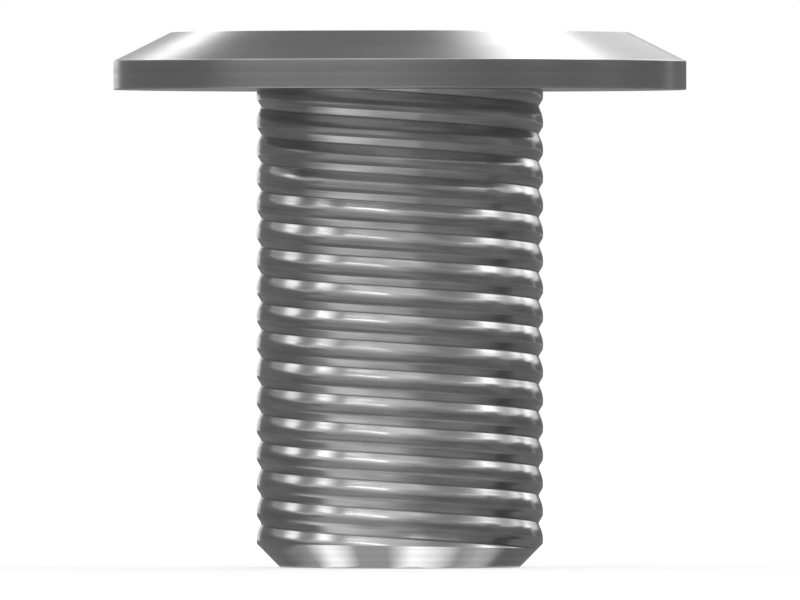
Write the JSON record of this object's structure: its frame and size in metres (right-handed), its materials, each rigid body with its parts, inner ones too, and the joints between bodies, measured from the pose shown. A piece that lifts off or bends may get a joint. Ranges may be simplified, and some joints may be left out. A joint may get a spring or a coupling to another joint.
{
  "type": "socket head screw",
  "caption": "Screw with a wide, very low sloped head, a hexagonal socket in its flat top and a shank threaded from the head to its flat chamfered end.",
  "frame": {"origin": "centre of the flat end of the shank, where the screw stands", "axes": "+Z along the screw's axis from the flat end up to the head; two flats of the hexagonal socket face +Y and -Y"},
  "size_m": [0.012, 0.012, 0.0112],
  "materials": {
    "steel": "satin grey steel, turned and rolled"
  },
  "bodies": {
    "root": {"screw": "steel"}
  },
  "joints": []
}
